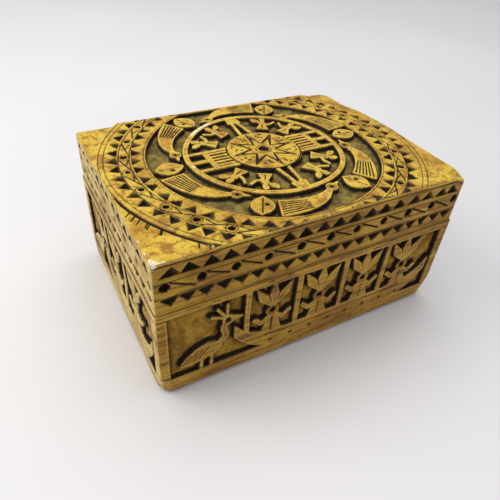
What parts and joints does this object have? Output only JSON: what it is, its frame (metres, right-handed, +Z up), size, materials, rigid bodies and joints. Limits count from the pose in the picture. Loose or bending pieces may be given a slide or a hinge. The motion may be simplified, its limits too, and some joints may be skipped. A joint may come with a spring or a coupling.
{
  "type": "carved wooden puzzle box",
  "caption": "Rectangular carved wooden box with a lift-off lid, a turning sun medallion and hidden sliding bolts that lock the lid.",
  "frame": {"origin": "middle of the underside, where the box stands", "axes": "+Z up, +X along the long side to the right, the front faces -Y"},
  "size_m": [0.13, 0.094, 0.0643],
  "materials": {
    "carved_stained_wood": "satin",
    "lining_wood": "matte",
    "lock_hardwood": "satin",
    "dowel_wood": "matte",
    "screw_brass": "satin"
  },
  "bodies": {
    "base": {"base_front_wall": "carved_stained_wood", "base_back_wall": "carved_stained_wood", "base_left_wall": "carved_stained_wood", "base_right_wall": "carved_stained_wood", "base_bottom_board": "lining_wood", "lining_front": "lining_wood", "lining_back": "lining_wood", "lining_left": "lining_wood", "lining_right": "lining_wood"},
    "lid": {"lid_top_board": "carved_stained_wood", "lid_front_rail": "carved_stained_wood", "lid_back_rail": "carved_stained_wood", "lid_left_rail": "carved_stained_wood", "lid_right_rail": "carved_stained_wood", "left_bolt_guide": "lock_hardwood", "right_bolt_guide": "lock_hardwood", "guide_screws": "screw_brass"},
    "dial": {"sun_medallion": "carved_stained_wood", "dial_spindle": "dowel_wood", "scroll_cam": "lock_hardwood", "cam_cross_pin": "dowel_wood"},
    "bolt_left": {"left_bolt": "lock_hardwood", "left_follower_pin": "dowel_wood"},
    "bolt_right": {"right_bolt": "lock_hardwood", "right_follower_pin": "dowel_wood"}
  },
  "joints": [
    {"name": "lid_lift", "type": "slide", "parent": "base", "child": "lid", "axis": [0, 0, 1], "range_m": [0, 0.06]},
    {"name": "sun_dial_turn", "type": "hinge", "parent": "lid", "child": "dial", "pos_m": [0, 0.002, 0.0608], "axis": [0, 0, 1], "range_deg": [0, 90]},
    {"name": "bolt_left_slide", "type": "slide", "parent": "lid", "child": "bolt_left", "axis": [-1, 0, 0], "range_m": [0, 0.0044]},
    {"name": "bolt_right_slide", "type": "slide", "parent": "lid", "child": "bolt_right", "axis": [1, 0, 0], "range_m": [0, 0.0044]}
  ],
  "couplings": [
    {"joint": "bolt_left_slide", "follows": "sun_dial_turn", "m_per_rad": 0.0028011},
    {"joint": "bolt_right_slide", "follows": "sun_dial_turn", "m_per_rad": 0.0028011}
  ]
}
